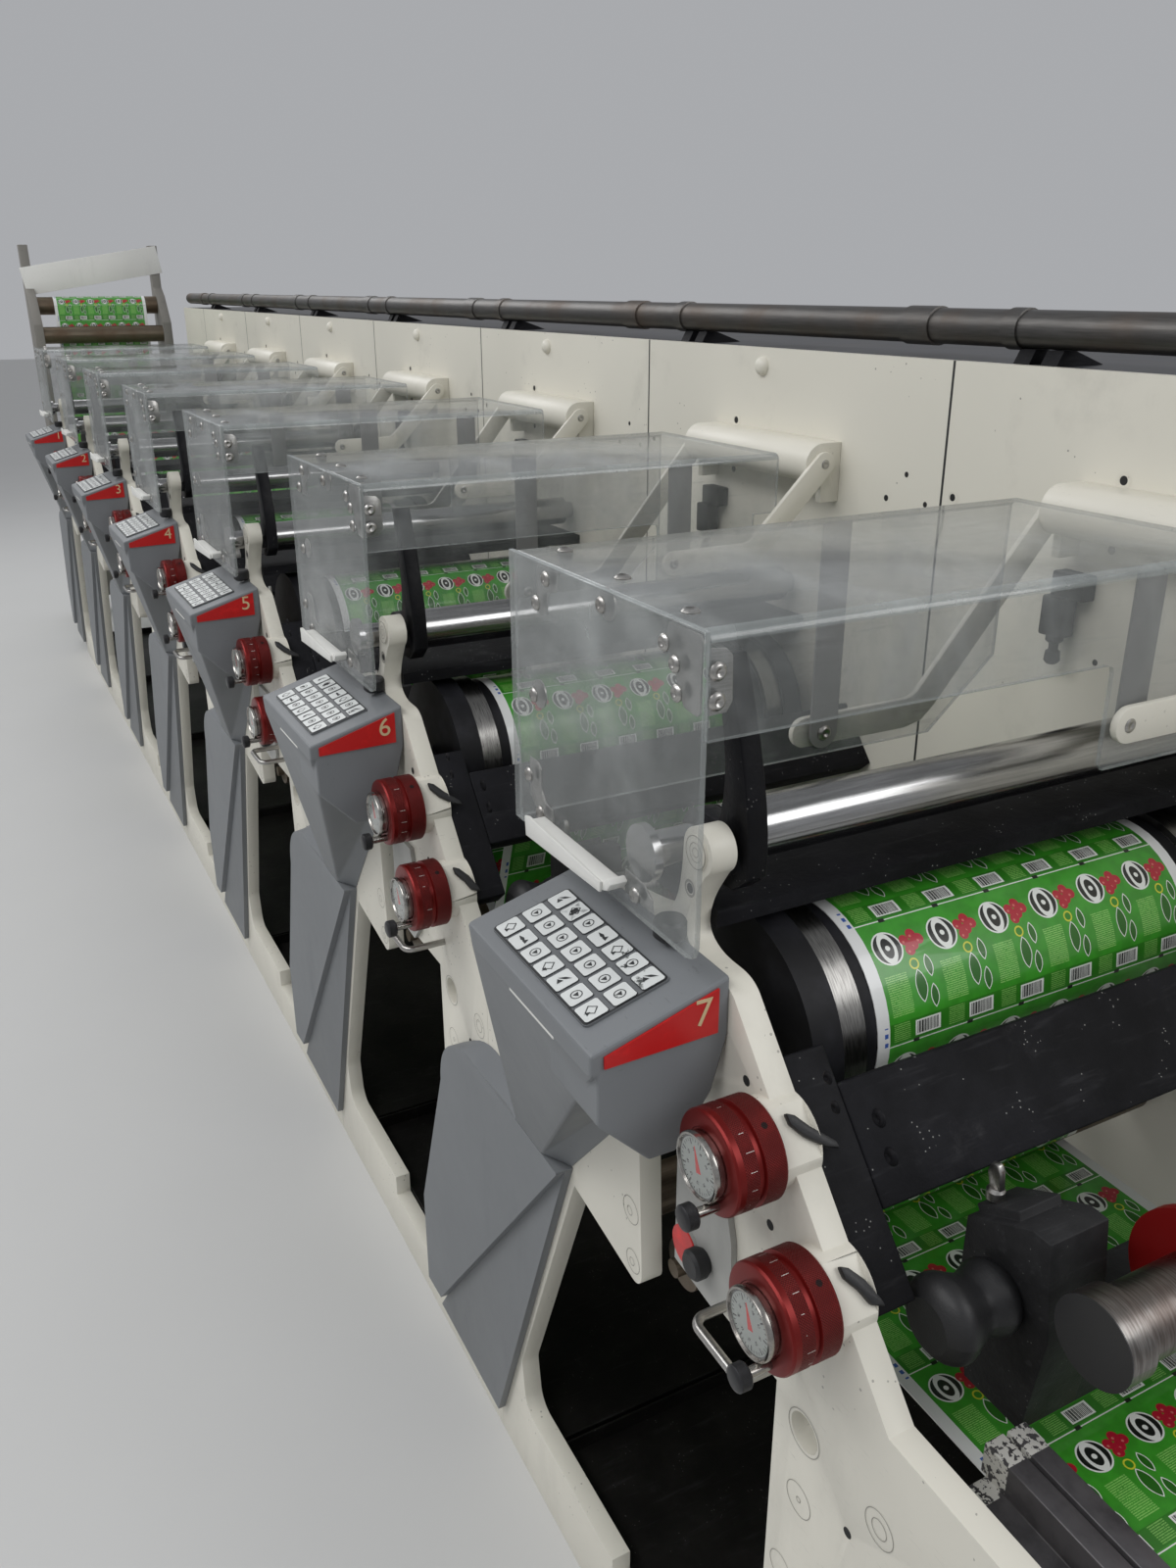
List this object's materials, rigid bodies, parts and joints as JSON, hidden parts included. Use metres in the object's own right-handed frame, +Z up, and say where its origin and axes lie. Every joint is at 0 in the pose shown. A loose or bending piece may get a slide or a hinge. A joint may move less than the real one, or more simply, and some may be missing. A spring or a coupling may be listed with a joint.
{
  "type": "flexographic label press",
  "caption": "Line of printing units on cream side plates with grey consoles, red gauge knobs, clear lift-up hoods, green printed web and a closed drive wall.",
  "frame": {"origin": "centre of the footprint on the ground", "axes": "+X runs downstream along the line of units, +Y points from the operator's side to the drive side, +Z is up"},
  "size_m": [6.6, 1.276, 1.77],
  "materials": {
    "cream_paint": "satin",
    "grey_paint": "satin",
    "key_film": "matte",
    "red_plastic": "glossy",
    "pale_grey": "satin",
    "bright_steel": "polished wire",
    "black_steel": "worn matte",
    "black_plastic": "matte",
    "dark_steel": "oily",
    "green_film": "printed film",
    "white_sheet": "matte",
    "clear_sheet": "clear sheet, scratched",
    "chrome": "polished",
    "red_anodised": "anodised, knurled"
  },
  "bodies": {
    "frame": {"side_plates": "cream_paint", "consoles": "grey_paint", "keypads": "key_film", "number_plates": "red_plastic", "skirt_covers": "grey_paint", "bracket_plates": "pale_grey", "wire_handles": "bright_steel", "slide_arms": "black_steel", "ink_beams": "black_steel", "roller_arms": "black_steel", "under_trays": "black_steel", "carriages": "black_steel", "ball_handles": "black_plastic", "slide_rails": "dark_steel", "cross_shafts": "dark_steel", "hinge_blocks": "cream_paint", "drive_wall": "cream_paint", "drive_cabinet": "cream_paint", "top_pipe": "dark_steel", "pipe_saddles": "black_steel", "web": "green_film", "web_rollers": "dark_steel", "infeed_stand": "cream_paint", "sign_plate": "white_sheet", "drip_pans": "black_steel"},
    "hood_1_body": {"hood_1": "clear_sheet"},
    "hood_2_body": {"hood_2": "clear_sheet"},
    "hood_3_body": {"hood_3": "clear_sheet"},
    "hood_4_body": {"hood_4": "clear_sheet"},
    "hood_5_body": {"hood_5": "clear_sheet"},
    "hood_6_body": {"hood_6": "clear_sheet"},
    "hood_7_body": {"hood_7": "clear_sheet"},
    "drum_1_body": {"drum_1": "dark_steel"},
    "drum_2_body": {"drum_2": "dark_steel"},
    "drum_3_body": {"drum_3": "dark_steel"},
    "drum_4_body": {"drum_4": "dark_steel"},
    "drum_5_body": {"drum_5": "dark_steel"},
    "drum_6_body": {"drum_6": "dark_steel"},
    "drum_7_body": {"drum_7": "dark_steel"},
    "chrome_roller_1_body": {"chrome_roller_1": "chrome"},
    "chrome_roller_2_body": {"chrome_roller_2": "chrome"},
    "chrome_roller_3_body": {"chrome_roller_3": "chrome"},
    "chrome_roller_4_body": {"chrome_roller_4": "chrome"},
    "chrome_roller_5_body": {"chrome_roller_5": "chrome"},
    "chrome_roller_6_body": {"chrome_roller_6": "chrome"},
    "chrome_roller_7_body": {"chrome_roller_7": "chrome"},
    "knob_upper_1_body": {"knob_upper_1": "red_anodised"},
    "knob_upper_2_body": {"knob_upper_2": "red_anodised"},
    "knob_upper_3_body": {"knob_upper_3": "red_anodised"},
    "knob_upper_4_body": {"knob_upper_4": "red_anodised"},
    "knob_upper_5_body": {"knob_upper_5": "red_anodised"},
    "knob_upper_6_body": {"knob_upper_6": "red_anodised"},
    "knob_upper_7_body": {"knob_upper_7": "red_anodised"},
    "knob_lower_1_body": {"knob_lower_1": "red_anodised"},
    "knob_lower_2_body": {"knob_lower_2": "red_anodised"},
    "knob_lower_3_body": {"knob_lower_3": "red_anodised"},
    "knob_lower_4_body": {"knob_lower_4": "red_anodised"},
    "knob_lower_5_body": {"knob_lower_5": "red_anodised"},
    "knob_lower_6_body": {"knob_lower_6": "red_anodised"},
    "knob_lower_7_body": {"knob_lower_7": "red_anodised"}
  },
  "joints": [
    {"name": "hood_1_lift", "type": "hinge", "parent": "frame", "child": "hood_1_body", "pos_m": [-2.08, 0.172, 1.334], "axis": [-1, 0, 0], "range_deg": [0, 84]},
    {"name": "hood_2_lift", "type": "hinge", "parent": "frame", "child": "hood_2_body", "pos_m": [-1.28, 0.172, 1.334], "axis": [-1, 0, 0], "range_deg": [0, 84]},
    {"name": "hood_3_lift", "type": "hinge", "parent": "frame", "child": "hood_3_body", "pos_m": [-0.48, 0.172, 1.334], "axis": [-1, 0, 0], "range_deg": [0, 84]},
    {"name": "hood_4_lift", "type": "hinge", "parent": "frame", "child": "hood_4_body", "pos_m": [0.32, 0.172, 1.334], "axis": [-1, 0, 0], "range_deg": [0, 84]},
    {"name": "hood_5_lift", "type": "hinge", "parent": "frame", "child": "hood_5_body", "pos_m": [1.12, 0.172, 1.334], "axis": [-1, 0, 0], "range_deg": [0, 84]},
    {"name": "hood_6_lift", "type": "hinge", "parent": "frame", "child": "hood_6_body", "pos_m": [1.92, 0.172, 1.334], "axis": [-1, 0, 0], "range_deg": [0, 84]},
    {"name": "hood_7_lift", "type": "hinge", "parent": "frame", "child": "hood_7_body", "pos_m": [2.72, 0.172, 1.334], "axis": [-1, 0, 0], "range_deg": [0, 84]},
    {"name": "drum_1_turn", "type": "hinge", "parent": "frame", "child": "drum_1_body", "pos_m": [-2.008, -0.147, 0.937], "axis": [0, 1, 0], "continuous": true},
    {"name": "drum_2_turn", "type": "hinge", "parent": "frame", "child": "drum_2_body", "pos_m": [-1.208, -0.147, 0.937], "axis": [0, 1, 0], "continuous": true},
    {"name": "drum_3_turn", "type": "hinge", "parent": "frame", "child": "drum_3_body", "pos_m": [-0.408, -0.147, 0.937], "axis": [0, 1, 0], "continuous": true},
    {"name": "drum_4_turn", "type": "hinge", "parent": "frame", "child": "drum_4_body", "pos_m": [0.392, -0.147, 0.937], "axis": [0, 1, 0], "continuous": true},
    {"name": "drum_5_turn", "type": "hinge", "parent": "frame", "child": "drum_5_body", "pos_m": [1.192, -0.147, 0.937], "axis": [0, 1, 0], "continuous": true},
    {"name": "drum_6_turn", "type": "hinge", "parent": "frame", "child": "drum_6_body", "pos_m": [1.992, -0.147, 0.937], "axis": [0, 1, 0], "continuous": true},
    {"name": "drum_7_turn", "type": "hinge", "parent": "frame", "child": "drum_7_body", "pos_m": [2.792, -0.147, 0.937], "axis": [0, 1, 0], "continuous": true},
    {"name": "chrome_roller_1_turn", "type": "hinge", "parent": "frame", "child": "chrome_roller_1_body", "pos_m": [-2.02, -0.147, 1.13], "axis": [0, 1, 0], "continuous": true},
    {"name": "chrome_roller_2_turn", "type": "hinge", "parent": "frame", "child": "chrome_roller_2_body", "pos_m": [-1.22, -0.147, 1.13], "axis": [0, 1, 0], "continuous": true},
    {"name": "chrome_roller_3_turn", "type": "hinge", "parent": "frame", "child": "chrome_roller_3_body", "pos_m": [-0.42, -0.147, 1.13], "axis": [0, 1, 0], "continuous": true},
    {"name": "chrome_roller_4_turn", "type": "hinge", "parent": "frame", "child": "chrome_roller_4_body", "pos_m": [0.38, -0.147, 1.13], "axis": [0, 1, 0], "continuous": true},
    {"name": "chrome_roller_5_turn", "type": "hinge", "parent": "frame", "child": "chrome_roller_5_body", "pos_m": [1.18, -0.147, 1.13], "axis": [0, 1, 0], "continuous": true},
    {"name": "chrome_roller_6_turn", "type": "hinge", "parent": "frame", "child": "chrome_roller_6_body", "pos_m": [1.98, -0.147, 1.13], "axis": [0, 1, 0], "continuous": true},
    {"name": "chrome_roller_7_turn", "type": "hinge", "parent": "frame", "child": "chrome_roller_7_body", "pos_m": [2.78, -0.147, 1.13], "axis": [0, 1, 0], "continuous": true},
    {"name": "knob_upper_1_turn", "type": "hinge", "parent": "frame", "child": "knob_upper_1_body", "pos_m": [-1.84995, -0.542, 0.93524], "axis": [0, 1, 0], "continuous": true},
    {"name": "knob_upper_2_turn", "type": "hinge", "parent": "frame", "child": "knob_upper_2_body", "pos_m": [-1.04995, -0.542, 0.93524], "axis": [0, 1, 0], "continuous": true},
    {"name": "knob_upper_3_turn", "type": "hinge", "parent": "frame", "child": "knob_upper_3_body", "pos_m": [-0.24995, -0.542, 0.93524], "axis": [0, 1, 0], "continuous": true},
    {"name": "knob_upper_4_turn", "type": "hinge", "parent": "frame", "child": "knob_upper_4_body", "pos_m": [0.55005, -0.542, 0.93524], "axis": [0, 1, 0], "continuous": true},
    {"name": "knob_upper_5_turn", "type": "hinge", "parent": "frame", "child": "knob_upper_5_body", "pos_m": [1.35005, -0.542, 0.93524], "axis": [0, 1, 0], "continuous": true},
    {"name": "knob_upper_6_turn", "type": "hinge", "parent": "frame", "child": "knob_upper_6_body", "pos_m": [2.15005, -0.542, 0.93524], "axis": [0, 1, 0], "continuous": true},
    {"name": "knob_upper_7_turn", "type": "hinge", "parent": "frame", "child": "knob_upper_7_body", "pos_m": [2.95005, -0.542, 0.93524], "axis": [0, 1, 0], "continuous": true},
    {"name": "knob_lower_1_turn", "type": "hinge", "parent": "frame", "child": "knob_lower_1_body", "pos_m": [-1.77056, -0.542, 0.84392], "axis": [0, 1, 0], "continuous": true},
    {"name": "knob_lower_2_turn", "type": "hinge", "parent": "frame", "child": "knob_lower_2_body", "pos_m": [-0.97056, -0.542, 0.84392], "axis": [0, 1, 0], "continuous": true},
    {"name": "knob_lower_3_turn", "type": "hinge", "parent": "frame", "child": "knob_lower_3_body", "pos_m": [-0.17056, -0.542, 0.84392], "axis": [0, 1, 0], "continuous": true},
    {"name": "knob_lower_4_turn", "type": "hinge", "parent": "frame", "child": "knob_lower_4_body", "pos_m": [0.62944, -0.542, 0.84392], "axis": [0, 1, 0], "continuous": true},
    {"name": "knob_lower_5_turn", "type": "hinge", "parent": "frame", "child": "knob_lower_5_body", "pos_m": [1.42944, -0.542, 0.84392], "axis": [0, 1, 0], "continuous": true},
    {"name": "knob_lower_6_turn", "type": "hinge", "parent": "frame", "child": "knob_lower_6_body", "pos_m": [2.22944, -0.542, 0.84392], "axis": [0, 1, 0], "continuous": true},
    {"name": "knob_lower_7_turn", "type": "hinge", "parent": "frame", "child": "knob_lower_7_body", "pos_m": [3.02944, -0.542, 0.84392], "axis": [0, 1, 0], "continuous": true}
  ],
  "couplings": [
    {"joint": "drum_2_turn", "follows": "drum_1_turn", "ratio": 1},
    {"joint": "drum_3_turn", "follows": "drum_1_turn", "ratio": 1},
    {"joint": "drum_4_turn", "follows": "drum_1_turn", "ratio": 1},
    {"joint": "drum_5_turn", "follows": "drum_1_turn", "ratio": 1},
    {"joint": "drum_6_turn", "follows": "drum_1_turn", "ratio": 1},
    {"joint": "drum_7_turn", "follows": "drum_1_turn", "ratio": 1}
  ]
}
